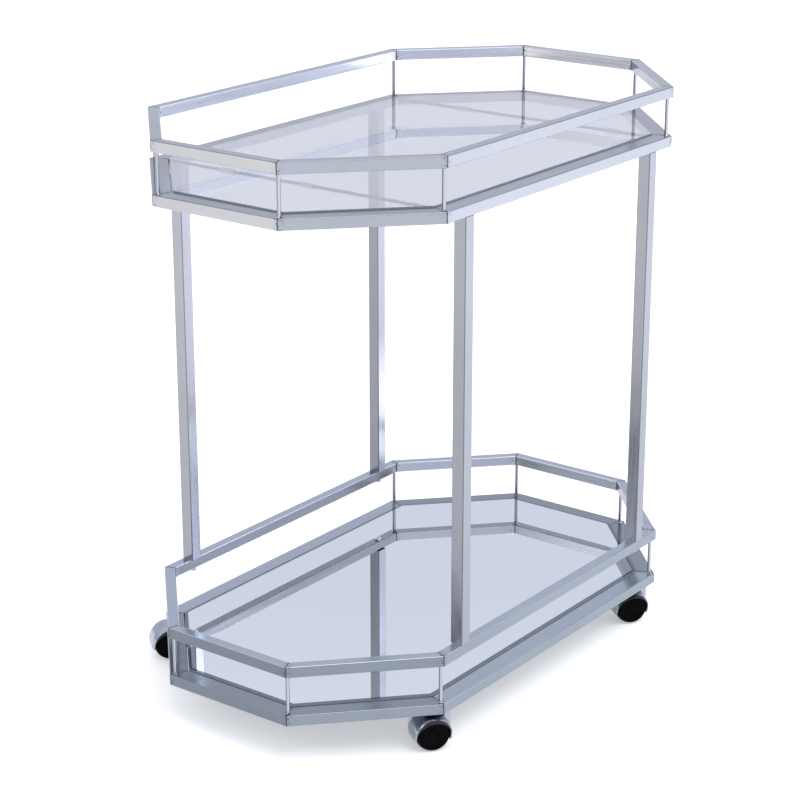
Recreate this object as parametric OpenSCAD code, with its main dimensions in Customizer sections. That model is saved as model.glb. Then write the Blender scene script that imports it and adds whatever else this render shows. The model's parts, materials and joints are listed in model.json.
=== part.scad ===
// Two-tier bar cart: two eight-sided trays on four square posts, with galleries and hooded twin-wheel casters.
// Origin on the floor under the middle of the cart, +X along its length, front towards -Y, +Z up.

/* [Tray outline] */
// Overall length of both trays
cart_length = 820; // [760:5:880]
// Overall width of both trays
cart_width = 481; // [440:1:520]
// How much each cut corner takes off the length
corner_cut_x = 147; // [120:1:160]
// How much each cut corner takes off the width
corner_cut_y = 141; // [120:1:160]

/* [Heights] */
// Floor to the underside of the lower ring
caster_height = 53; // [52:0.5:60]
// Pitch from the lower ring to the upper ring
tier_pitch = 650; // [500:5:750]
// Open height of the galleries, from ring to rail
gallery_gap = 53; // [40:1:80]

/* [Tubes] */
// Width of the flat tube of the rings
ring_w = 25; // [22:1:30]
// Height of the flat tube of the rings
ring_h = 15; // [15:1:20]
// Side of the square tube of the gallery rails
rail_w = 15; // [14:0.5:18]
// Side of the square tube of the legs
leg_w = 18; // [17:0.5:20]
// Distance of the leg centres from the middle of the cart
leg_x = 215.5; // [180:0.5:225]
// Wall of every tube
tube_wall = 1.2; // [1:0.1:1.5]
// Outer corner radius of every tube
tube_radius = 1.3; // [1.2:0.1:2]
// Gap that shows as the mitre seam between two tubes
mitre_seam = 0.3; // [0.1:0.05:0.5]
// Diameter of the gallery posts
post_d = 5; // [4:0.5:6]

/* [Shelves] */
// Thickness of the glass and of the mirror
panel_t = 4; // [3:0.5:5]
// How far the panels stand above the top of their ring
panel_rise = 1.8; // [0.5:0.1:2.5]
// Gap between a panel's edge and its ring
panel_gap = 0.8; // [0.5:0.1:2]
// Diameter of the rods under the panels
rod_d = 4; // [3:0.5:4]
// Outer diameter of the sleeves on the rods
sleeve_d = 7; // [6:0.5:8]
// Length of one sleeve
sleeve_length = 20; // [12:1:30]

/* [Casters] */
// Radius of the wheels
wheel_r = 23.3; // [22:0.1:23.5]
// How far the axle trails behind the stem
caster_trail = 18.5; // [17:0.5:20]
// Direction that the casters point to at rest
caster_yaw = -36; // [-180:1:180]
// Outer radius of the hoods
hood_r = 26.5; // [26:0.1:27]
// Lean of the hoods' mouths, outwards at the top
mouth_lean = 17.5; // [10:0.5:20]

/* [Hidden] */

// Smoothness of true circles, and the size of cutting blocks
round_fn = 48;
big = 400;
left = -1;
right = 1;
front = -1;
back = 1;

// Levels, from the floor up
lower_ring_z = caster_height;
lower_rail_z = lower_ring_z + ring_h + gallery_gap;
leg_bottom_z = lower_rail_z + rail_w;
upper_ring_z = lower_ring_z + tier_pitch;
upper_rail_z = upper_ring_z + ring_h + gallery_gap;

// Plan of the trays
half_length = cart_length / 2;
half_width = cart_width / 2;
cut_length = norm([corner_cut_x, corner_cut_y]);
cut_normal = [corner_cut_y, corner_cut_x] / cut_length;
cut_offset = cut_normal * [half_length, half_width - corner_cut_y];

// Legs, their plugs and screws
leg_y = half_width - leg_w / 2;
plug_side = leg_w - 2 * tube_wall - 0.2;
plug_height = 20;
screw_r = 3;
thread_gap = 0.02;
screw_reach = 18;
screw_head_r = 5.25;
screw_head_h = 3.3;
socket_r = 2.3;
socket_depth = 2;
leg_nut_r = 5.8;
leg_nut_h = 5;

// Rods and sleeves
rod_side_gap = 3;
rod_x = side_x(ring_w) - rod_side_gap;
rod_drop = panel_t - panel_rise + sleeve_d / 2;
sleeve_gap = 0.1;
upper_sleeves = [[left, 115], [left, -15], [right, 98], [right, -152]];
lower_sleeves = [[left, 120], [left, -120], [right, 120], [right, -120]];

// Caster stems
stem_x = side_x(0) - 17;
stem_y = half_width - ring_w / 2;
stem_r = 4;
collar_r = 7;
collar_h = 1.6;
caster_nut_r = 7.5;
caster_nut_h = 6.5;
stem_reach = 10;
stem_bottom_z = 30;
running_gap = 0.05;

// Caster hoods, in a frame with +X the way the caster leads and the axle along Y
boss_r = 8.5;
boss_top_z = caster_height - collar_h - 0.4;
hood_wall = 1.5;
hood_shoulder = 8;
mouth_half = 17.4;
web_half = 6;
skirt_trailing = 6;
skirt_leading = 10;

// Wheels and axles
wheel_inner = web_half + 0.4;
wheel_outer = 17;
tread_half = 3.1;
shoulder_r = 13;
axle_r = 3;
axle_half = 13.8;
axle_bore_depth = 14.2;

// Where the outline, moved inwards by an inset, meets the cut corners
function side_x(inset) =
    (cut_offset - inset - cut_normal.y * (half_width - inset)) / cut_normal.x;
function end_y(inset) =
    (cut_offset - inset - cut_normal.x * (half_length - inset)) / cut_normal.y;

// The eight corners of the outline, anticlockwise from the front left one
function outline(inset) = [
    for (q = [[-1, -1, 0], [1, -1, 0], [1, -1, 1], [1, 1, 1], [1, 1, 0], [-1, 1, 0], [-1, 1, 1], [-1, -1, 1]])
        q.z == 0 ? [q.x * side_x(inset), q.y * (half_width - inset)]
                 : [q.x * (half_length - inset), q.y * end_y(inset)]
];

// Tubes and frames

module tube_section(w, h) {
    difference() {
        union() {
            translate([tube_radius, 0])
                square([w - 2 * tube_radius, h]);
            translate([0, tube_radius])
                square([w, h - 2 * tube_radius]);
            for (x = [tube_radius, w - tube_radius], y = [tube_radius, h - tube_radius])
                translate([x, y])
                    circle(r = tube_radius, $fn = round_fn);
        }
        translate([tube_wall, tube_wall])
            square([w - 2 * tube_wall, h - 2 * tube_wall]);
    }
}

// One side of a ring: a tube from corner to corner, its ends cut along the mitres
module mitred_tube(corner, next, inner_corner, inner_next, w, h) {
    run = next - corner;
    turn = atan2(run.y, run.x);
    mitre_a = inner_corner - corner;
    mitre_b = inner_next - next;
    translate([corner.x, corner.y, 0])
        rotate(turn)
            difference() {
                translate([-w, 0, 0])
                    rotate([90, 0, 90])
                        linear_extrude(norm(run) + 2 * w)
                            tube_section(w, h);
                rotate(atan2(mitre_a.y, mitre_a.x) - turn - 90)
                    translate([mitre_seam / 2 - big, -big / 2, -1])
                        cube([big, big, h + 2]);
                translate([norm(run), 0, 0])
                    rotate(atan2(mitre_b.y, mitre_b.x) - turn - 90)
                        translate([-mitre_seam / 2, -big / 2, -1])
                            cube([big, big, h + 2]);
            }
}

module tube_frame(w, h) {
    outer = outline(0);
    inner = outline(w);
    for (i = [0:7])
        mitred_tube(outer[i], outer[(i + 1) % 8], inner[i], inner[(i + 1) % 8], w, h);
}

module at_each_leg() {
    for (x = [-leg_x, leg_x], y = [-leg_y, leg_y])
        translate([x, y, 0])
            children();
}

module at_each_stem() {
    for (x = [-stem_x, stem_x], y = [-stem_y, stem_y])
        translate([x, y, 0])
            children();
}

module gallery_posts() {
    for (corner = outline(rail_w / 2))
        translate([corner.x, corner.y, 0])
            cylinder(h = gallery_gap, d = post_d, $fn = round_fn);
}

module panel() {
    linear_extrude(panel_t)
        polygon(outline(ring_w + panel_gap));
}

module cross_rod(side) {
    translate([side * rod_x, half_width - ring_w, -rod_drop])
        rotate([90, 0, 0])
            cylinder(h = 2 * (half_width - ring_w), d = rod_d, $fn = round_fn);
}

module rod_sleeves(places) {
    for (place = places)
        translate([place.x * rod_x, place.y + sleeve_length / 2, -rod_drop])
            rotate([90, 0, 0])
                difference() {
                    cylinder(h = sleeve_length, d = sleeve_d, $fn = round_fn);
                    translate([0, 0, -1])
                        cylinder(h = sleeve_length + 2, d = rod_d + 2 * sleeve_gap, $fn = round_fn);
                }
}

module weld_nut(corner_r, h, thread_r) {
    difference() {
        cylinder(h = h, r = corner_r, $fn = 6);
        translate([0, 0, -1])
            cylinder(h = h + 2, r = thread_r + thread_gap, $fn = round_fn);
    }
}

// Upper tray

module upper_ring() {
    color("lightsteelblue")
        translate([0, 0, upper_ring_z])
            difference() {
                tube_frame(ring_w, ring_h);
                at_each_leg()
                    translate([0, 0, -1])
                        cylinder(h = tube_wall + 2, r = screw_r + 0.3, $fn = round_fn);
            }
}

module upper_gallery_rail() {
    color("lightsteelblue")
        translate([0, 0, upper_rail_z])
            tube_frame(rail_w, rail_w);
}

module upper_gallery_posts() {
    color("slategray")
        translate([0, 0, upper_ring_z + ring_h])
            gallery_posts();
}

module upper_glass_shelf() {
    color("lavender", 0.5)
        translate([0, 0, upper_ring_z + ring_h + panel_rise - panel_t])
            panel();
}

module upper_left_cross_rod() {
    color("silver")
        translate([0, 0, upper_ring_z + ring_h])
            cross_rod(left);
}

module upper_right_cross_rod() {
    color("silver")
        translate([0, 0, upper_ring_z + ring_h])
            cross_rod(right);
}

module upper_rod_sleeves() {
    color("whitesmoke")
        translate([0, 0, upper_ring_z + ring_h])
            rod_sleeves(upper_sleeves);
}

module upper_ring_weld_nuts() {
    color("dimgray")
        translate([0, 0, upper_ring_z + tube_wall])
            at_each_leg()
                weld_nut(leg_nut_r, leg_nut_h, screw_r);
}

// Lower tray

module lower_ring() {
    color("lightsteelblue")
        translate([0, 0, lower_ring_z])
            difference() {
                tube_frame(ring_w, ring_h);
                at_each_stem()
                    translate([0, 0, -1])
                        cylinder(h = tube_wall + 2, r = stem_r + 0.3, $fn = round_fn);
            }
}

module lower_gallery_rail() {
    color("lightsteelblue")
        translate([0, 0, lower_rail_z])
            difference() {
                tube_frame(rail_w, rail_w);
                at_each_leg()
                    translate([0, 0, -1])
                        cylinder(h = rail_w + 2, r = screw_r + 0.3, $fn = round_fn);
            }
}

module lower_gallery_posts() {
    color("slategray")
        translate([0, 0, lower_ring_z + ring_h])
            gallery_posts();
}

module lower_mirror_shelf() {
    color("gainsboro")
        translate([0, 0, lower_ring_z + ring_h + panel_rise - panel_t])
            panel();
}

module lower_left_cross_rod() {
    color("silver")
        translate([0, 0, lower_ring_z + ring_h])
            cross_rod(left);
}

module lower_right_cross_rod() {
    color("silver")
        translate([0, 0, lower_ring_z + ring_h])
            cross_rod(right);
}

module lower_rod_sleeves() {
    color("whitesmoke")
        translate([0, 0, lower_ring_z + ring_h])
            rod_sleeves(lower_sleeves);
}

module caster_weld_nuts() {
    color("dimgray")
        translate([0, 0, lower_ring_z + tube_wall])
            at_each_stem()
                weld_nut(caster_nut_r, caster_nut_h, stem_r);
}

// Legs

module leg(side, face) {
    color("silver")
        translate([side * leg_x - leg_w / 2, face * leg_y - leg_w / 2, leg_bottom_z])
            linear_extrude(upper_ring_z - leg_bottom_z)
                tube_section(leg_w, leg_w);
}

module front_left_leg() leg(left, front);
module front_right_leg() leg(right, front);
module back_left_leg() leg(left, back);
module back_right_leg() leg(right, back);

module leg_plug() {
    difference() {
        translate([-plug_side / 2, -plug_side / 2, 0])
            cube([plug_side, plug_side, plug_height]);
        translate([0, 0, -1])
            cylinder(h = plug_height + 2, r = screw_r + thread_gap, $fn = round_fn);
    }
}

module leg_top_plugs() {
    color("black")
        translate([0, 0, upper_ring_z - plug_height])
            at_each_leg()
                leg_plug();
}

module leg_bottom_plugs() {
    color("black")
        translate([0, 0, leg_bottom_z])
            at_each_leg()
                leg_plug();
}

module leg_top_studs() {
    color("dimgray")
        translate([0, 0, upper_ring_z - screw_reach])
            at_each_leg()
                cylinder(h = screw_reach + tube_wall + leg_nut_h, r = screw_r, $fn = round_fn);
}

module leg_bottom_screws() {
    color("silver")
        translate([0, 0, lower_rail_z])
            at_each_leg()
                difference() {
                    union() {
                        cylinder(h = rail_w + screw_reach, r = screw_r, $fn = round_fn);
                        translate([0, 0, -screw_head_h])
                            cylinder(h = screw_head_h, r = screw_head_r, $fn = round_fn);
                    }
                    translate([0, 0, -screw_head_h - 1])
                        cylinder(h = socket_depth + 1, r = socket_r, $fn = 6);
                }
}

// Casters: the parts of one caster stand in its own frame, with the stem on the Z axis

module at_caster(side, face) {
    translate([side * stem_x, face * stem_y, 0])
        rotate(caster_yaw)
            children();
}

module on_axle() {
    translate([-caster_trail, 0, wheel_r])
        rotate([-90, 0, 0])
            children();
}

module caster_stem() {
    color("silver") {
        translate([0, 0, stem_bottom_z])
            cylinder(h = caster_height + stem_reach - stem_bottom_z, r = stem_r, $fn = round_fn);
        translate([0, 0, caster_height - collar_h])
            cylinder(h = collar_h, r = collar_r, $fn = round_fn);
    }
}

// Half section of the hood's outside or inside, as a radius about the axle
module hood_section(radius, half) {
    intersection() {
        union() {
            translate([0, -hood_shoulder])
                square([radius, 2 * hood_shoulder]);
            for (y = [-hood_shoulder, hood_shoulder])
                translate([0, y])
                    circle(r = radius, $fn = 96);
        }
        translate([0, -half])
            square([radius + 1, 2 * half]);
    }
}

module wheel_space(side) {
    intersection() {
        rotate_extrude($fn = 96)
            hood_section(hood_r - hood_wall, big / 8);
        translate([-big / 2, -big / 2, side > 0 ? web_half : -web_half - big])
            cube([big, big, big]);
    }
}

module beyond_mouth(side) {
    translate([0, side * mouth_half, 0])
        rotate([-side * mouth_lean, 0, 0])
            translate([-big / 2, side > 0 ? 0 : -big, -big / 2])
                cube([big, big, big]);
}

module caster_hood() {
    skirt_tilt = atan2(skirt_leading - skirt_trailing, 2 * hood_r);
    color("silver")
        difference() {
            union() {
                on_axle()
                    rotate_extrude($fn = 96)
                        hood_section(hood_r, hood_r);
                translate([0, 0, wheel_r])
                    cylinder(h = boss_top_z - wheel_r, r = boss_r, $fn = round_fn);
            }
            on_axle() {
                wheel_space(1);
                wheel_space(-1);
                translate([0, 0, -big / 2])
                    cylinder(h = big, r = axle_r + thread_gap, $fn = round_fn);
            }
            translate([-caster_trail, 0, wheel_r]) {
                beyond_mouth(1);
                beyond_mouth(-1);
                translate([0, 0, -(skirt_leading + skirt_trailing) / 2])
                    rotate([0, skirt_tilt, 0])
                        translate([-big / 2, -big / 2, -big])
                            cube([big, big, big]);
            }
            translate([0, 0, stem_bottom_z - 1])
                cylinder(h = big, r = stem_r + running_gap, $fn = round_fn);
        }
}

module caster_axle() {
    color("gray")
        on_axle()
            translate([0, 0, -axle_half])
                cylinder(h = 2 * axle_half, r = axle_r, $fn = round_fn);
}

// Half section of a wheel: flat tread, round shoulder and a shallow dish in the outer face
module wheel_section() {
    tread_top = wheel_inner + tread_half;
    difference() {
        intersection() {
            union() {
                translate([0, wheel_inner])
                    square([wheel_r, tread_half]);
                translate([wheel_r - shoulder_r, tread_top])
                    circle(r = shoulder_r, $fn = 96);
                translate([0, tread_top])
                    square([wheel_r - shoulder_r, wheel_outer - tread_top]);
            }
            translate([0, wheel_inner])
                square([wheel_r, wheel_outer - wheel_inner]);
        }
        square([axle_r + running_gap, axle_bore_depth]);
        translate([8, wheel_outer - 0.8])
            square([9, 2]);
        translate([10, 0])
            square([9, wheel_inner + 4]);
    }
}

module caster_wheel(side) {
    color("black")
        on_axle()
            mirror([0, 0, side > 0 ? 0 : 1])
                rotate_extrude($fn = 96)
                    wheel_section();
}

module front_left_caster_stem() at_caster(left, front) caster_stem();
module front_left_caster_hood() at_caster(left, front) caster_hood();
module front_left_caster_axle() at_caster(left, front) caster_axle();
module front_left_caster_left_wheel() at_caster(left, front) caster_wheel(1);
module front_left_caster_right_wheel() at_caster(left, front) caster_wheel(-1);
module front_right_caster_stem() at_caster(right, front) caster_stem();
module front_right_caster_hood() at_caster(right, front) caster_hood();
module front_right_caster_axle() at_caster(right, front) caster_axle();
module front_right_caster_left_wheel() at_caster(right, front) caster_wheel(1);
module front_right_caster_right_wheel() at_caster(right, front) caster_wheel(-1);
module back_left_caster_stem() at_caster(left, back) caster_stem();
module back_left_caster_hood() at_caster(left, back) caster_hood();
module back_left_caster_axle() at_caster(left, back) caster_axle();
module back_left_caster_left_wheel() at_caster(left, back) caster_wheel(1);
module back_left_caster_right_wheel() at_caster(left, back) caster_wheel(-1);
module back_right_caster_stem() at_caster(right, back) caster_stem();
module back_right_caster_hood() at_caster(right, back) caster_hood();
module back_right_caster_axle() at_caster(right, back) caster_axle();
module back_right_caster_left_wheel() at_caster(right, back) caster_wheel(1);
module back_right_caster_right_wheel() at_caster(right, back) caster_wheel(-1);

upper_ring();
upper_gallery_rail();
upper_gallery_posts();
upper_glass_shelf();
upper_left_cross_rod();
upper_right_cross_rod();
upper_rod_sleeves();
upper_ring_weld_nuts();
lower_ring();
lower_gallery_rail();
lower_gallery_posts();
lower_mirror_shelf();
lower_left_cross_rod();
lower_right_cross_rod();
lower_rod_sleeves();
caster_weld_nuts();
front_left_leg();
front_right_leg();
back_left_leg();
back_right_leg();
leg_top_plugs();
leg_bottom_plugs();
leg_top_studs();
leg_bottom_screws();
front_left_caster_stem();
front_left_caster_hood();
front_left_caster_axle();
front_left_caster_left_wheel();
front_left_caster_right_wheel();
front_right_caster_stem();
front_right_caster_hood();
front_right_caster_axle();
front_right_caster_left_wheel();
front_right_caster_right_wheel();
back_left_caster_stem();
back_left_caster_hood();
back_left_caster_axle();
back_left_caster_left_wheel();
back_left_caster_right_wheel();
back_right_caster_stem();
back_right_caster_hood();
back_right_caster_axle();
back_right_caster_left_wheel();
back_right_caster_right_wheel();
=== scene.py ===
"""The looks of an eight-sided, two-tier chrome bar cart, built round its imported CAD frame."""

import json
import math

import bmesh
import bpy
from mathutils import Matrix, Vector

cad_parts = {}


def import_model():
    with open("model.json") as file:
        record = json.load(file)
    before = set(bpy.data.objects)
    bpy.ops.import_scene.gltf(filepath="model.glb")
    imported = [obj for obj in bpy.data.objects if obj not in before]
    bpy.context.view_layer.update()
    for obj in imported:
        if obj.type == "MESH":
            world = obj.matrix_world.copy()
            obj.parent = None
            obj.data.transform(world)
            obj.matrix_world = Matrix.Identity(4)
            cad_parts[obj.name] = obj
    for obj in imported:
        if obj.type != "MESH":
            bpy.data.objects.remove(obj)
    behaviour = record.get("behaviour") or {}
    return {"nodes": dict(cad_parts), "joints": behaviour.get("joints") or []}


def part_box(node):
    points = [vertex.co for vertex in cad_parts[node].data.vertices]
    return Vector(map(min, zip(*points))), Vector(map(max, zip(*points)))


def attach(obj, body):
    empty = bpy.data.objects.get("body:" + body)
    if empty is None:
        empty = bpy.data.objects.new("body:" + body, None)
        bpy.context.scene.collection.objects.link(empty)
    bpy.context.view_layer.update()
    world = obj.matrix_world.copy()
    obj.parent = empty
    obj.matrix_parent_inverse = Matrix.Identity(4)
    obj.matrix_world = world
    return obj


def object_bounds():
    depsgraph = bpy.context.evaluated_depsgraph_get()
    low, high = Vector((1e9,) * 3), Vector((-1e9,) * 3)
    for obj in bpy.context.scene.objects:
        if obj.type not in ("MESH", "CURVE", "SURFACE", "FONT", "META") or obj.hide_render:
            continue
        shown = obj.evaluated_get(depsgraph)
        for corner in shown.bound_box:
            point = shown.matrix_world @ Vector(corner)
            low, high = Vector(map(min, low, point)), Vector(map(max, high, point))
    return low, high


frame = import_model()
nodes = frame["nodes"]
cad_low, cad_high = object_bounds()

# ---------------------------------------------------------------- driving values, in metres and degrees

CART_BODY = "cart_frame"
TIERS = ("upper", "lower")
CORNERS = ("front_left", "front_right", "back_left", "back_right")
WHEEL_SIDES = ("left", "right")

# How far a mitred corner lies from each end of the ring's box, along X and along Y
CORNER_CUT = (0.147, 0.141)

CAMERA_AZIMUTH = -53.2
CAMERA_ELEVATION = 19.09
CAMERA_DISTANCE = 3.112
CAMERA_TARGET = Vector((-0.0128, 0.0172, 0.3588))
CAMERA_LENS = 100.65

# How far a panel's edge lies inside the ring's outline. Three dark lines run beside that edge: the clear
# panel's ground arris, the mirror's arris with the bare edge of its silver, and painted shade on the ring.
PANEL_INSET = 0.0258
GLASS_ARRIS = 0.0006
MIRROR_ARRIS = 0.0038
PANEL_EDGE_SHADE_LINE = 0.0008

# The plate's own colours, and that of the dirt and shadow in a mitre
CHROME_PALE = (0.475, 0.495, 0.56, 1.0)
CHROME_DEEP = (0.445, 0.465, 0.53, 1.0)
SEAM_DARK = (0.04, 0.045, 0.06, 1.0)

# Painted light and shade on each tray's tubes: factors on the plate's tone near the floor, by the way a face
# looks, on the long sides' tops and beside the panel. The functions that take them say what each name means.
TUBE_PAINTED_LIGHT_AND_SHADE = {
    ("upper", "ring"): dict(
        top=0.72, long_top=1.12, under=0.8, end=(0.96, 0.92, 0.83, 1.0), cut=0.75,
        brow=0.85, panel_edge_shade=0.95,
    ),
    ("upper", "gallery_rail"): dict(
        top=0.84, under=0.8, end=(0.99, 0.95, 0.84, 1.0), cut=0.79,
        inside=1.75, inside_end=0.78, inside_fore=0.42, brow=0.7,
    ),
    ("lower", "ring"): dict(
        floor=(0.59, 0.64, 0.665, 1.0), top=0.92, long_top=1.5, under=0.6, end=0.64, cut=0.85,
        panel_edge_shade=0.75,
    ),
    ("lower", "gallery_rail"): dict(
        floor=(0.55, 0.6, 0.63, 1.0), top=1.5, under=0.6, end=0.6, cut=0.76,
        inside=(1.6, 1.48, 1.36, 1.0), inside_end=1.45, inside_cut=1.8, inside_fore=0.42,
    ),
}

# Painted shade for each leg: over its whole tone, and on its two faces along X
LEG_PAINTED_SHADE = {
    "front_left": (0.88, (0.77, 0.75, 0.71, 1.0)),
    "front_right": (0.88, (0.77, 0.75, 0.71, 1.0)),
    "back_left": (1.02, (0.79, 0.77, 0.73, 1.0)),
    "back_right": (1.0, (0.58, 0.58, 0.57, 1.0)),
}

# Between these heights the painted reflection of the lower tray fades out of the legs' inner faces
TRAY_GLARE = (0.28, 0.36)

# Where a face counts as one that looks up, along X, out of a cut corner or along Y: the start and end of the
# fade, as UPWARD_FADE for the normal's Z, CUTWAYS_FADE for its X times its Y, and the other two for its X
UPWARD_FADE = (0.2, 0.8)
ENDWAYS_FADE = (0.85, 0.97)
CUTWAYS_FADE = (0.3, 0.45)
LENGTHWAYS_FADE = (0.03, 0.15)

# Distance from a mitre over which its dark line, and the rough zone beside it, fade out
SEAM_FADE = (0.0004, 0.0011)
WELD_FADE = (0.002, 0.009)

# The floor is a lit table, which keeps the cart's shadow faint
FLOOR_GLOW = 0.4
FLOOR_REACH = 30.0

# From the axle outwards, where a hood's outer wall begins
HOOD_HUB_RADIUS = 0.0235

# The beads at the posts' ends
WELD_REACH = 0.0016
WELD_RISE = 0.0016
WELD_OVERLAP = 0.0002
WELD_TURNS = 24

# ---------------------------------------------------------------- materials


class Finish:
    """A material with one Principled shader, and short ways to feed it from procedural nodes."""

    def __init__(self, name, **sockets):
        self.material = bpy.data.materials.new(name)
        self.material.use_nodes = True
        self.tree = self.material.node_tree
        self.shader = self.tree.nodes["Principled BSDF"]
        for socket, value in sockets.items():
            self.shader.inputs[socket.replace("_", " ")].default_value = value
        self.place = self.node("TexCoord").outputs["Object"]

    def node(self, kind, **settings):
        made = self.tree.nodes.new(f"ShaderNode{kind}")
        for key, value in settings.items():
            setattr(made, key, value)
        return made

    def feed(self, target, source):
        """Links source to target if it is a socket, and otherwise sets it as target's own value."""
        if isinstance(source, bpy.types.NodeSocket):
            self.tree.links.new(source, target)
        else:
            target.default_value = source

    def math(self, operation, *values):
        made = self.node("Math", operation=operation)
        for socket, value in zip(made.inputs, values):
            self.feed(socket, value)
        return made.outputs[0]

    def stretched(self, scale):
        """Object coordinates, scaled differently along X, Y and Z."""
        made = self.node("Mapping")
        self.feed(made.inputs["Vector"], self.place)
        made.inputs["Scale"].default_value = scale
        return made.outputs[0]

    def noise(self, scale, detail=3.0, rough=0.55, place=None):
        made = self.node("TexNoise")
        self.feed(made.inputs["Vector"], place or self.place)
        made.inputs["Scale"].default_value = scale
        made.inputs["Detail"].default_value = detail
        made.inputs["Roughness"].default_value = rough
        return made.outputs["Fac"]

    def spread(self, value, low, high, start=0.3, end=0.7):
        """value from start to end, taken to low to high."""
        made = self.node("MapRange")
        for socket, given in zip(made.inputs, (value, start, end, low, high)):
            self.feed(socket, given)
        return made.outputs[0]

    def parts(self, vector):
        """The X, Y and Z outputs of a vector."""
        made = self.node("SeparateXYZ")
        self.feed(made.inputs[0], vector)
        return made.outputs

    def blend(self, share, first, second, mode="MIX"):
        """A colour between two others or, in the mode MULTIPLY, the first one multiplied by the second."""
        made = self.node("MixRGB", blend_type=mode)
        for socket, given in zip(made.inputs, (share, first, second)):
            self.feed(socket, given)
        return made.outputs[0]

    def shade(self, mask, tone, factor):
        """tone, multiplied by factor (a number or a colour) where the mask is 1."""
        if not isinstance(factor, tuple):
            factor = rgb(factor, factor, factor)
        return self.blend(mask, tone, factor, "MULTIPLY")

    def colour(self, source):
        self.feed(self.shader.inputs["Base Color"], source)

    def roughness(self, source):
        self.feed(self.shader.inputs["Roughness"], source)

    def bump(self, height, depth, strength=1.0):
        """Relief of the given depth in metres, from a height of 0 to 1."""
        made = self.node("Bump")
        self.feed(made.inputs["Height"], height)
        made.inputs["Distance"].default_value = depth
        made.inputs["Strength"].default_value = strength
        self.feed(self.shader.inputs["Normal"], made.outputs[0])


def rgb(red, green, blue):
    return (red, green, blue, 1.0)


def plan_place(finish):
    """Distances from the cart's middle along X and along Y, which fold all four quarters onto one."""
    place = finish.parts(finish.place)
    return finish.math("ABSOLUTE", place["X"]), finish.math("ABSOLUTE", place["Y"])


def cut_slope():
    """The angle from +X of the way that a cut corner faces."""
    cut_x, cut_y = CORNER_CUT
    return math.atan2(cut_x, cut_y)


def inset_distance(finish, half_length, half_width):
    """Distance inwards from the nearest side of an eight-sided outline, which is negative outside it."""
    x, y = plan_place(finish)
    across_x, across_y = math.cos(cut_slope()), math.sin(cut_slope())
    reach = half_length * across_x + (half_width - CORNER_CUT[1]) * across_y
    from_middle = finish.math(
        "ADD", finish.math("MULTIPLY", x, across_x), finish.math("MULTIPLY", y, across_y))
    from_cut = finish.math("SUBTRACT", reach, from_middle)
    from_end = finish.math("SUBTRACT", half_length, x)
    from_long_side = finish.math("SUBTRACT", half_width, y)
    return finish.math("MINIMUM", finish.math("MINIMUM", from_end, from_long_side), from_cut)


def mitre_offsets(finish, half_length, half_width):
    """Signed distances from the two mitre planes that all eight mirror onto.

    The first is above 0 on the long sides, and the second is above 0 everywhere but on the ends.
    """
    x, y = plan_place(finish)
    cut_x, cut_y = CORNER_CUT
    corners = (
        (half_length - cut_x, half_width, (math.pi / 2 + cut_slope()) / 2),
        (half_length, half_width - cut_y, cut_slope() / 2),
    )
    offsets = []
    for corner_x, corner_y, bisector in corners:
        along_x = finish.math("MULTIPLY", finish.math("SUBTRACT", x, corner_x), -math.sin(bisector))
        along_y = finish.math("MULTIPLY", finish.math("SUBTRACT", y, corner_y), math.cos(bisector))
        offsets.append(finish.math("ADD", along_x, along_y))
    return offsets


def facing(finish):
    """The X, Y and Z parts of the surface's normal, in the cart's own frame."""
    return finish.parts(finish.node("NewGeometry").outputs["Normal"])


def plate_tone_with_painted_light_and_shade(finish, floor=1.0, top=1.0, under=1.0, end=1.0, cut=1.0, inside=1.0, inside_end=1.0,
                inside_cut=1.0, inside_fore=1.0, inside_low=1.0, edge=1.0, brow=1.0):
    """The plate's cloudy tone, with painted light and shade near the floor and by the way a face looks.

    Each value is a number or a colour, and multiplies the tone.
    floor: painted shade at the floor, fading out towards the cart's top.
    top, under, end, cut: painted light and shade on faces that look up, down, along X, and out of a cut
    corner.
    inside: painted light and shade on faces that look towards the middle of the cart. inside_end, inside_cut
    and inside_fore are for those among them on the ends, on the cut corners and on the two cut corners at
    the front, and inside_low, the lower tray's painted reflection, is for those on the long sides near the
    lower tray.
    edge: painted dark lines on the rounded corners of an upright tube. brow: painted shade on the rounded
    upper edges of a level one.
    """
    tone = finish.blend(finish.spread(finish.noise(7.0), 0.0, 1.0), CHROME_PALE, CHROME_DEEP)
    place = finish.parts(finish.place)
    normal = facing(finish)

    def both(first, second):
        return finish.math("MULTIPLY", first, second)

    def rising(value, fade):
        return finish.spread(value, 0.0, 1.0, *fade)

    def falling(value, fade):
        return finish.spread(value, 1.0, 0.0, *fade)

    along_x = finish.math("ABSOLUTE", normal["X"])
    diagonal = finish.math("ABSOLUTE", both(normal["X"], normal["Y"]))
    outward = finish.math("ADD", both(normal["X"], place["X"]), both(normal["Y"], place["Y"]))
    inward = falling(outward, (-0.04, 0.0))
    endways = rising(along_x, ENDWAYS_FADE)
    cutways = rising(diagonal, CUTWAYS_FADE)
    lengthways = falling(along_x, LENGTHWAYS_FADE)
    masks = (
        (floor, falling(place["Z"], (cad_low.z, cad_high.z))),
        (top, rising(normal["Z"], UPWARD_FADE)),
        (under, falling(normal["Z"], (-UPWARD_FADE[1], -UPWARD_FADE[0]))),
        (end, endways),
        (cut, cutways),
        (inside, inward),
        (inside_end, both(inward, endways)),
        (inside_cut, both(inward, cutways)),
        (inside_fore, both(both(inward, cutways), rising(normal["Y"], (0.0, 0.1)))),
        (inside_low, both(both(inward, lengthways), falling(place["Z"], TRAY_GLARE))),
        (edge, rising(diagonal, (0.12, 0.3))),
        (brow, both(rising(normal["Z"], (0.1, 0.3)), falling(normal["Z"], (0.85, 0.97)))),
    )
    for factor, mask in masks:
        if factor != 1.0:
            tone = finish.shade(mask, tone, factor)
    return tone


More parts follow.
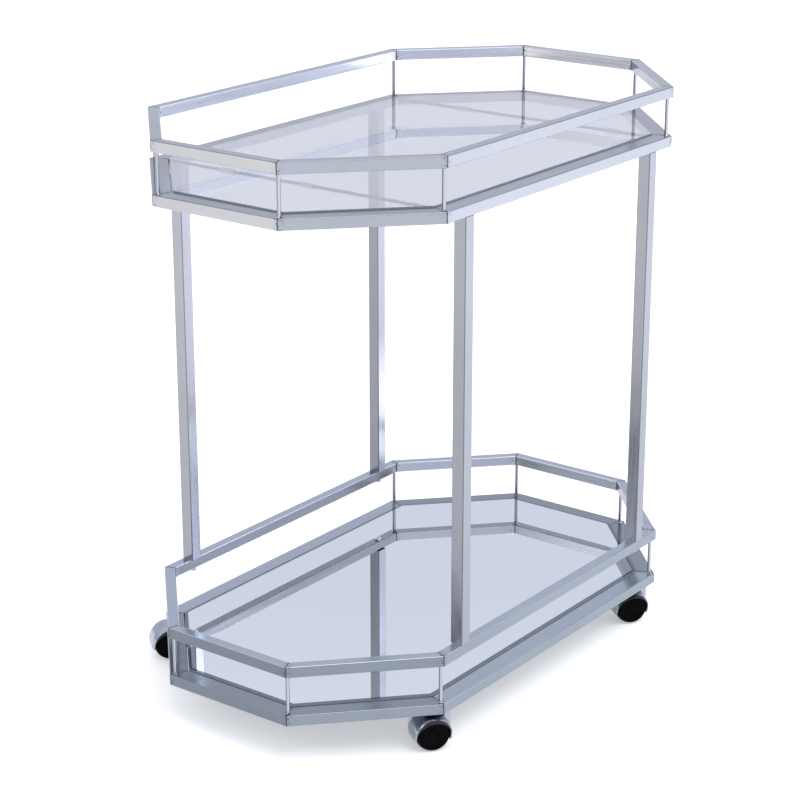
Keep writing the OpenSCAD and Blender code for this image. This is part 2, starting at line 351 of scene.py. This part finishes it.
def chrome_frame(name, half_length, half_width, long_top=1.0, panel_edge_shade=1.0, **shades):
    """Plated tube: cloudy, softly streaked, and with a dark line and pits where the mitres are welded.

    half_length and half_width are those of the ring's outline. long_top is the painted light on the tops of
    the two long sides, and joint the painted shade on a line beside the panel.
    """
    finish = Finish(name, Metallic=1.0)
    streaks = finish.noise(55.0, place=finish.stretched((0.15, 0.15, 6.0)))
    grain = finish.noise(900.0, detail=2.0)
    from_long_side, from_end = mitre_offsets(finish, half_length, half_width)
    from_mitre = finish.math(
        "MINIMUM", finish.math("ABSOLUTE", from_long_side), finish.math("ABSOLUTE", from_end))
    seam = finish.spread(from_mitre, 1.0, 0.0, *SEAM_FADE)
    weld_zone = finish.spread(from_mitre, 1.0, 0.0, *WELD_FADE)
    pits = finish.spread(finish.noise(380.0, detail=1.0), 0.0, 1.0, 0.6, 0.66)
    pits = finish.math("MULTIPLY", pits, weld_zone)
    # The plate's tone, with painted light and shade on each way that a face looks
    tone = plate_tone_with_painted_light_and_shade(finish, **shades)
    # Painted light on the tops of the two long sides
    upward = finish.spread(facing(finish)["Z"], 0.0, 1.0, *UPWARD_FADE)
    long_side = finish.spread(from_long_side, 0.0, 1.0, -0.0002, 0.0002)
    tone = finish.shade(finish.math("MULTIPLY", upward, long_side), tone, long_top)
    # A line of painted shade on the ring, beside the panel's edge
    inset = inset_distance(finish, half_length, half_width)
    line_start, line_full = PANEL_INSET - 2.6 * PANEL_EDGE_SHADE_LINE, PANEL_INSET - 1.6 * PANEL_EDGE_SHADE_LINE
    beside_panel = finish.spread(inset, 0.0, 1.0, line_start, line_full)
    tone = finish.shade(beside_panel, tone, panel_edge_shade)
    marks = finish.math("MAXIMUM", finish.math("MULTIPLY", seam, 0.9), finish.math("MULTIPLY", pits, 0.8))
    finish.colour(finish.blend(marks, tone, SEAM_DARK))
    rough = finish.spread(streaks, 0.12, 0.24)
    finish.roughness(finish.math("ADD", rough, finish.math("MULTIPLY", weld_zone, 0.12)))
    hollow = finish.math("MULTIPLY", seam, -1.0)
    fine = finish.math("MULTIPLY", finish.math("ADD", streaks, grain), 0.012)
    finish.bump(finish.math("ADD", hollow, fine), 0.0002)
    return finish.material


def chrome_leg(name, depth, end):
    """Square tube, drawn and polished along its length.

    depth is a painted shade over its whole tone, and end the painted shade on the two faces along X.
    """
    finish = Finish(name, Metallic=1.0)
    streaks = finish.noise(60.0, place=finish.stretched((6.0, 6.0, 0.12)))
    # Painted shade near the floor and on the rounded corners, and the lower tray's painted reflection on the
    # inner faces
    tone = plate_tone_with_painted_light_and_shade(finish, floor=0.8, end=end, inside=1.02, inside_low=1.65, edge=0.45)
    finish.colour(finish.shade(1.0, tone, depth))
    finish.roughness(finish.spread(streaks, 0.14, 0.27))
    finish.bump(finish.math("MULTIPLY", streaks, 0.03), 0.0002)
    return finish.material


def chrome_rod(name, depth=1.0, **shades):
    """Bright round rod. depth is a painted shade over its whole tone."""
    finish = Finish(name, Metallic=1.0)
    finish.colour(finish.shade(1.0, plate_tone_with_painted_light_and_shade(finish, **shades), depth))
    finish.roughness(finish.spread(finish.noise(180.0), 0.1, 0.22))
    finish.bump(finish.noise(700.0), 0.00004, 0.4)
    return finish.material


def weld_metal():
    """Plated weld bead, darker and rougher than the rod that it holds."""
    finish = Finish("weld_metal", Metallic=1.0)
    lumps = finish.noise(420.0)
    crests = finish.spread(lumps, 0.0, 1.0, 0.45, 0.6)
    finish.colour(finish.blend(crests, rgb(0.03, 0.03, 0.035), rgb(0.85, 0.87, 0.92)))
    finish.roughness(finish.spread(lumps, 0.25, 0.5))
    finish.bump(lumps, 0.0003, 0.7)
    return finish.material


def with_arris(finish, tone, width, shade):
    """tone, with a line of the given width and shade round the edge of the panel's face."""
    _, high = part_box("upper_ring")
    inset = inset_distance(finish, high.x, high.y)
    arris = finish.spread(inset, 1.0, 0.0, PANEL_INSET + width, PANEL_INSET + 1.3 * width)
    return finish.blend(arris, tone, shade)


def clear_glass():
    """Clear sheet with a cool body, a hard bright skin and a very slight roller wave."""
    finish = Finish("clear_glass", IOR=1.5, Transmission_Weight=1.0, Coat_Weight=1.0, Coat_IOR=2.1)
    haze = finish.noise(9.0)
    body = finish.blend(haze, rgb(0.51, 0.512, 0.56), rgb(0.54, 0.542, 0.59))
    finish.colour(with_arris(finish, body, GLASS_ARRIS, rgb(0.22, 0.27, 0.33)))
    finish.roughness(finish.spread(finish.noise(30.0), 0.0, 0.004))
    finish.bump(finish.noise(6.0, place=finish.stretched((1.0, 4.0, 1.0))), 0.00003, 0.1)
    return finish.material


def glass_edge():
    """Ground and polished edge, deeper in colour because the light comes the long way through."""
    finish = Finish("glass_edge", IOR=1.5, Transmission_Weight=0.25)
    grind = finish.noise(400.0, place=finish.stretched((1.0, 1.0, 0.2)))
    finish.colour(finish.blend(grind, rgb(0.34, 0.40, 0.44), rgb(0.46, 0.52, 0.56)))
    finish.roughness(finish.spread(grind, 0.12, 0.3))
    finish.bump(grind, 0.00005, 0.3)
    return finish.material


def mirror_face():
    """Silvered sheet, seen through its own clear glass."""
    finish = Finish("mirror_face", Metallic=1.0, Coat_Weight=0.3, Coat_Roughness=0.02)
    haze = finish.noise(5.0)
    silver = finish.blend(haze, rgb(0.78, 0.80, 0.85), rgb(0.80, 0.82, 0.87))
    finish.colour(with_arris(finish, silver, MIRROR_ARRIS, rgb(0.13, 0.17, 0.22)))
    finish.roughness(finish.spread(finish.noise(24.0), 0.008, 0.02))
    finish.bump(finish.noise(5.0), 0.00003, 0.1)
    return finish.material


def mirror_back():
    """Grey protective paint behind the silver, rolled on and slightly mottled."""
    finish = Finish("mirror_back")
    roller = finish.noise(260.0)
    finish.colour(finish.blend(roller, rgb(0.16, 0.18, 0.2), rgb(0.24, 0.26, 0.28)))
    finish.roughness(finish.spread(roller, 0.5, 0.7))
    finish.bump(roller, 0.0001, 0.5)
    return finish.material


def vinyl():
    """Soft clear-white sleeve."""
    finish = Finish("vinyl_sleeve", Transmission_Weight=0.35, IOR=1.46)
    cloud = finish.noise(150.0)
    finish.colour(finish.blend(cloud, rgb(0.74, 0.77, 0.84), rgb(0.88, 0.9, 0.94)))
    finish.roughness(finish.spread(cloud, 0.25, 0.4))
    finish.bump(finish.noise(500.0), 0.0001, 0.3)
    return finish.material


def zinc():
    """Bright zinc plate on stock hardware."""
    finish = Finish("zinc_plate", Metallic=1.0)
    spangle = finish.noise(350.0)
    finish.colour(finish.blend(spangle, rgb(0.5, 0.52, 0.56), rgb(0.68, 0.7, 0.74)))
    finish.roughness(finish.spread(spangle, 0.22, 0.4))
    finish.bump(finish.noise(900.0), 0.00005, 0.5)
    return finish.material


def plain_steel():
    """Unplated nut, a little dull."""
    finish = Finish("plain_steel", Metallic=1.0)
    mottle = finish.noise(300.0)
    finish.colour(finish.blend(mottle, rgb(0.28, 0.28, 0.29), rgb(0.46, 0.46, 0.47)))
    finish.roughness(finish.spread(mottle, 0.35, 0.55))
    finish.bump(mottle, 0.00008, 0.5)
    return finish.material


def moulded_black(name, gloss):
    """Black nylon with a fine moulded grain and a few rubbed patches."""
    finish = Finish(name, Specular_IOR_Level=0.04)
    grain = finish.noise(1400.0, detail=2.0)
    rub = finish.spread(finish.noise(90.0), 0.0, 1.0, 0.45, 0.75)
    finish.colour(finish.blend(rub, rgb(0.0006, 0.0006, 0.0008), rgb(0.0022, 0.0022, 0.0026)))
    finish.roughness(finish.spread(rub, gloss, gloss + 0.16, 0.0, 1.0))
    finish.bump(grain, 0.00006, 0.5)
    return finish.material


def caster_chrome():
    """Plated die casting: rounder, brighter and slightly dimpled."""
    finish = Finish("caster_chrome", Metallic=1.0)
    dimples = finish.noise(160.0)
    finish.colour(finish.blend(finish.noise(40.0), rgb(0.42, 0.46, 0.54), rgb(0.34, 0.38, 0.45)))
    finish.roughness(finish.spread(dimples, 0.16, 0.28))
    finish.bump(dimples, 0.00008, 0.35)
    return finish.material


def caster_inside_painted_shade():
    """The hood's inner wall: rough metal, nearly black with painted shade."""
    finish = Finish("caster_inside_painted_shade", Metallic=0.6)
    skin = finish.noise(500.0)
    finish.colour(finish.blend(skin, rgb(0.012, 0.012, 0.014), rgb(0.03, 0.032, 0.036)))
    finish.roughness(finish.spread(skin, 0.4, 0.6))
    finish.bump(skin, 0.0001, 0.5)
    return finish.material


# ---------------------------------------------------------------- dressing the CAD nodes


def dress(node, *materials, pick=None):
    """Gives a CAD node its materials; pick says which one each polygon takes."""
    mesh = nodes[node].data
    mesh.materials.clear()
    for material in materials:
        mesh.materials.append(material)
    for polygon in mesh.polygons:
        polygon.material_index = pick(polygon) if pick else 0


def panel_side(polygon):
    """0 for a panel's upper face, 1 for its edge and 2 for its underside."""
    if polygon.normal.z > 0.5:
        return 0
    return 2 if polygon.normal.z < -0.5 else 1


def dress_frame():
    _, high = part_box("upper_ring")
    # Painted shade on the posts' faces along X, and a deep painted shade all over the cross rods
    post = chrome_rod("chrome_post", end=0.55)
    rod = chrome_rod("chrome_cross_rod", depth=0.12)
    sleeve = vinyl()
    for tier in TIERS:
        for tube in ("ring", "gallery_rail"):
            shades = TUBE_PAINTED_LIGHT_AND_SHADE[tier, tube]
            dress(f"{tier}_{tube}", chrome_frame(f"chrome_{tier}_{tube}", high.x, high.y, **shades))
        dress(f"{tier}_gallery_posts", post)
        dress(f"{tier}_rod_sleeves", sleeve)
        for side in WHEEL_SIDES:
            dress(f"{tier}_{side}_cross_rod", rod)
    for corner in CORNERS:
        depth, end = LEG_PAINTED_SHADE[corner]
        dress(f"{corner}_leg", chrome_leg(f"chrome_{corner}_leg", depth, end))


def dress_panels():
    edge = glass_edge()
    clear = clear_glass()
    dress("upper_glass_shelf", clear, edge, clear, pick=panel_side)
    dress("lower_mirror_shelf", mirror_face(), edge, mirror_back(), pick=panel_side)


def dress_hardware():
    steel = plain_steel()
    dress("upper_ring_weld_nuts", steel)
    dress("caster_weld_nuts", steel)
    plating = zinc()
    dress("leg_top_studs", plating)
    dress("leg_bottom_screws", plating)
    plug = moulded_black("plug_nylon", 0.45)
    dress("leg_top_plugs", plug)
    dress("leg_bottom_plugs", plug)
    for corner in CORNERS:
        dress(f"{corner}_caster_stem", plating)
        dress(f"{corner}_caster_axle", plating)


def hood_sides(centre, line):
    """Picks 1 for a hood's inner wall and the webs at its hub, and 0 for its outer wall."""

    def pick(polygon):
        out = polygon.center - centre
        out -= line * out.dot(line)
        faces_in = polygon.normal.dot(out.normalized()) < -0.2
        return 1 if faces_in or out.length < HOOD_HUB_RADIUS else 0

    return pick


def dress_casters():
    outside = caster_chrome()
    # Painted shade for the hood's inner wall and the webs at its hub
    inside = caster_inside_painted_shade()
    black = moulded_black("wheel_nylon", 0.22)
    for corner in CORNERS:
        axle_low, axle_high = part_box(f"{corner}_caster_axle")
        centre = (axle_low + axle_high) / 2
        rolling = next(j for j in frame["joints"] if j["name"] == f"{corner}_left_wheel_roll")
        line = Vector(rolling["axis"]).normalized()
        dress(f"{corner}_caster_hood", outside, inside, pick=hood_sides(centre, line))
        for side in WHEEL_SIDES:
            dress(f"{corner}_caster_{side}_wheel", black)


# ---------------------------------------------------------------- pieces that the CAD leaves to Blender


def islands(node):
    """The (lowest, highest) corners of each separate solid in a CAD node."""
    work = bmesh.new()
    work.from_mesh(nodes[node].data)
    bmesh.ops.remove_doubles(work, verts=work.verts, dist=1e-6)
    left = set(work.verts)
    boxes = []
    while left:
        found = [left.pop()]
        for vertex in found:
            for edge in vertex.link_edges:
                other = edge.other_vert(vertex)
                if other in left:
                    left.remove(other)
                    found.append(other)
        low = Vector([min(v.co[i] for v in found) for i in range(3)])
        high = Vector([max(v.co[i] for v in found) for i in range(3)])
        boxes.append((low, high))
    work.free()
    return sorted(boxes, key=lambda b: (round(b[0].x, 4), round(b[0].y, 4)))


def add_weld(work, centre, radius, foot, rise):
    """A hollow-sided fillet round a post, from the tube's face at foot along the post by rise.

    A bead that hangs from the rail above has a negative rise.
    """
    sunk = radius - WELD_OVERLAP
    profile = (
        (radius + WELD_REACH, 0.0),
        (radius + 0.45 * WELD_REACH, 0.28),
        (radius + 0.12 * WELD_REACH, 0.62),
        (sunk, 1.0),
        (sunk, 0.0),
    )
    rings = []
    for reach, height in profile:
        ring = []
        for turn in range(WELD_TURNS):
            angle = 2 * math.pi * turn / WELD_TURNS
            broad_lump = 0.07 * math.sin(3 * angle + 40 * centre.x)
            narrow_lump = 0.05 * math.sin(5 * angle + 70 * centre.y)
            swell = 1.0 + broad_lump + narrow_lump
            out = radius + (reach - radius) * swell if reach > radius else reach
            lift = rise * height * (swell if 0 < height < 1 else 1)
            x = centre.x + out * math.cos(angle)
            y = centre.y + out * math.sin(angle)
            ring.append(work.verts.new((x, y, foot + lift)))
        rings.append(ring)
    for below, above in zip(rings, rings[1:] + rings[:1]):
        for turn in range(WELD_TURNS):
            after = (turn + 1) % WELD_TURNS
            work.faces.new((below[turn], below[after], above[after], above[turn]))


def post_welds(tier, material):
    """The beads that hold the thin posts to the ring below and to the gallery rail above."""
    work = bmesh.new()
    for low, high in islands(f"{tier}_gallery_posts"):
        centre = (low + high) / 2
        radius = (high.x - low.x) / 2
        add_weld(work, centre, radius, low.z, WELD_RISE)
        add_weld(work, centre, radius, high.z, -WELD_RISE)
    bmesh.ops.recalc_face_normals(work, faces=work.faces)
    mesh = bpy.data.meshes.new(f"{tier}_post_welds")
    work.to_mesh(mesh)
    work.free()
    for polygon in mesh.polygons:
        polygon.use_smooth = True
    mesh.materials.append(material)
    piece = bpy.data.objects.new(f"{tier}_post_welds", mesh)
    bpy.context.scene.collection.objects.link(piece)
    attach(piece, CART_BODY)


# ---------------------------------------------------------------- studio


def floor():
    mesh = bpy.data.meshes.new("studio_floor")
    corners = [(x * FLOOR_REACH, y * FLOOR_REACH, 0) for x, y in ((-1, -1), (1, -1), (1, 1), (-1, 1))]
    mesh.from_pydata(corners, [], [(0, 1, 2, 3)])
    finish = Finish("studio_floor")
    finish.colour(finish.blend(finish.noise(1.5), rgb(0.79, 0.79, 0.80), rgb(0.82, 0.82, 0.83)))
    finish.shader.inputs["Emission Color"].default_value = rgb(0.96, 0.98, 1.0)
    finish.shader.inputs["Emission Strength"].default_value = FLOOR_GLOW
    finish.roughness(0.9)
    mesh.materials.append(finish.material)
    piece = bpy.data.objects.new("studio_floor", mesh)
    bpy.context.scene.collection.objects.link(piece)


def world():
    """A pale surround, cool at the horizon and white overhead."""
    made = bpy.data.worlds.new("studio")
    made.use_nodes = True
    bpy.context.scene.world = made
    tree = made.node_tree
    background = tree.nodes["Background"]
    place = tree.nodes.new("ShaderNodeTexCoord")
    split = tree.nodes.new("ShaderNodeSeparateXYZ")
    ramp = tree.nodes.new("ShaderNodeValToRGB")
    tree.links.new(place.outputs["Generated"], split.inputs[0])
    tree.links.new(split.outputs["Z"], ramp.inputs["Fac"])
    tree.links.new(ramp.outputs["Color"], background.inputs["Color"])
    stops = (
        (0.0, (0.74, 0.77, 0.87)),
        (0.4, (0.75, 0.78, 0.88)),
        (0.65, (1.0, 1.0, 1.0)),
        (1.0, (1.0, 1.0, 1.0)),
    )
    ramp.color_ramp.elements[0].position = stops[0][0]
    ramp.color_ramp.elements[1].position = stops[-1][0]
    for position, _ in stops[1:-1]:
        ramp.color_ramp.elements.new(position)
    for element, (_, colour) in zip(ramp.color_ramp.elements, stops):
        element.color = rgb(*colour)
    background.inputs["Strength"].default_value = 1.0


def direction(azimuth, elevation):
    """From the cart towards something at that azimuth and elevation, in degrees."""
    turn, lift = math.radians(azimuth), math.radians(elevation)
    return Vector((math.sin(turn) * math.cos(lift), -math.cos(turn) * math.cos(lift), math.sin(lift)))


def sunlight(name, azimuth, elevation, spread, strength, colour):
    """A far, wide light. Azimuth 0 shines along +Y and 90 along -X, and elevation is above the horizon."""
    data = bpy.data.lights.new(name, "SUN")
    data.angle = math.radians(spread)
    data.energy = strength
    data.color = colour
    lamp = bpy.data.objects.new(name, data)
    lamp.rotation_euler = (-direction(azimuth, elevation)).to_track_quat("-Z", "Y").to_euler()
    bpy.context.scene.collection.objects.link(lamp)


def softbox(name, place, aim, width, height, power, colour):
    data = bpy.data.lights.new(name, "AREA")
    data.color = colour
    data.shape = "RECTANGLE"
    data.size = width
    data.size_y = height
    data.energy = power
    lamp = bpy.data.objects.new(name, data)
    lamp.location = place
    lamp.rotation_euler = (Vector(aim) - Vector(place)).to_track_quat("-Z", "Y").to_euler()
    bpy.context.scene.collection.objects.link(lamp)


def camera():
    data = bpy.data.cameras.new("camera")
    data.lens = CAMERA_LENS
    data.sensor_width = 36.0
    data.clip_end = 100.0
    view = bpy.data.objects.new("camera", data)
    back = direction(CAMERA_AZIMUTH, CAMERA_ELEVATION)
    view.location = CAMERA_TARGET + back * CAMERA_DISTANCE
    view.rotation_euler = (-back).to_track_quat("-Z", "Y").to_euler()
    bpy.context.scene.collection.objects.link(view)
    bpy.context.scene.camera = view


dress_frame()
dress_panels()
dress_hardware()
dress_casters()
bead = weld_metal()
for tier_name in TIERS:
    post_welds(tier_name, bead)

floor()
world()
sunlight("key", azimuth=-20.0, elevation=62.0, spread=32.0, strength=0.75, colour=(0.97, 0.985, 1.0))
softbox("right_softbox", (2.6, -2.6, 3.0), (0.6, -0.6, 0.0), 1.6, 1.6, 34, (0.86, 0.93, 1.0))
softbox("left_softbox", (-3.0, 1.6, 2.4), (-0.6, 0.6, 0.0), 1.4, 1.4, 12, (1.0, 0.98, 0.95))
camera()
bpy.context.scene.view_settings.view_transform = "Standard"
